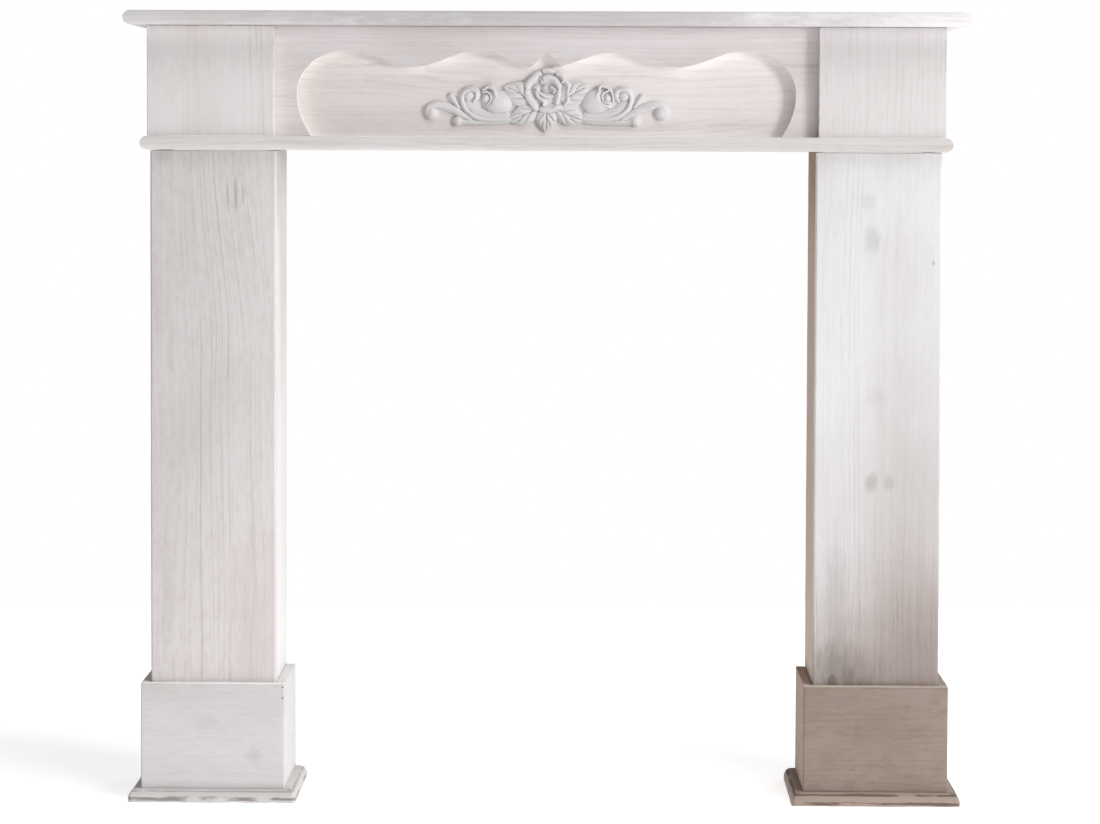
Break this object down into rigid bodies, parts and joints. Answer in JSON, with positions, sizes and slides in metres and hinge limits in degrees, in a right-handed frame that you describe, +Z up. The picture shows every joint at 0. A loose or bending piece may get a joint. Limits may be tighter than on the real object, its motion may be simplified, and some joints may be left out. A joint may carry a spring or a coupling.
{
  "type": "fireplace mantelpiece",
  "caption": "Free-standing timber fireplace surround with box legs on plinths, a bullnosed shelf and a wavy-edged frieze carrying a cast rose and scroll ornament.",
  "frame": {"origin": "on the floor, under the middle of the shelf", "axes": "+X to the right as seen from the front, the front faces -Y, the open back faces the wall at +Y, +Z up"},
  "size_m": [1.06, 0.19, 1],
  "materials": {
    "whitewashed_wood": "limewashed, dry and satin, with grey grain and dark worn edges",
    "painted_casting": "cast resin, painted matt off-white"
  },
  "bodies": {
    "root": {"mantel_shelf": "whitewashed_wood", "lower_moulding": "whitewashed_wood", "frieze_fascia": "whitewashed_wood", "recess_panel": "whitewashed_wood", "rose_ornament": "painted_casting", "left_block_front": "whitewashed_wood", "left_block_return": "whitewashed_wood", "right_block_front": "whitewashed_wood", "right_block_return": "whitewashed_wood", "left_leg_front": "whitewashed_wood", "left_leg_inner_side": "whitewashed_wood", "left_leg_outer_side": "whitewashed_wood", "right_leg_front": "whitewashed_wood", "right_leg_inner_side": "whitewashed_wood", "right_leg_outer_side": "whitewashed_wood", "left_plinth_front": "whitewashed_wood", "left_plinth_inner_side": "whitewashed_wood", "left_plinth_outer_side": "whitewashed_wood", "right_plinth_front": "whitewashed_wood", "right_plinth_inner_side": "whitewashed_wood", "right_plinth_outer_side": "whitewashed_wood", "left_foot_board": "whitewashed_wood", "right_foot_board": "whitewashed_wood"}
  },
  "joints": []
}
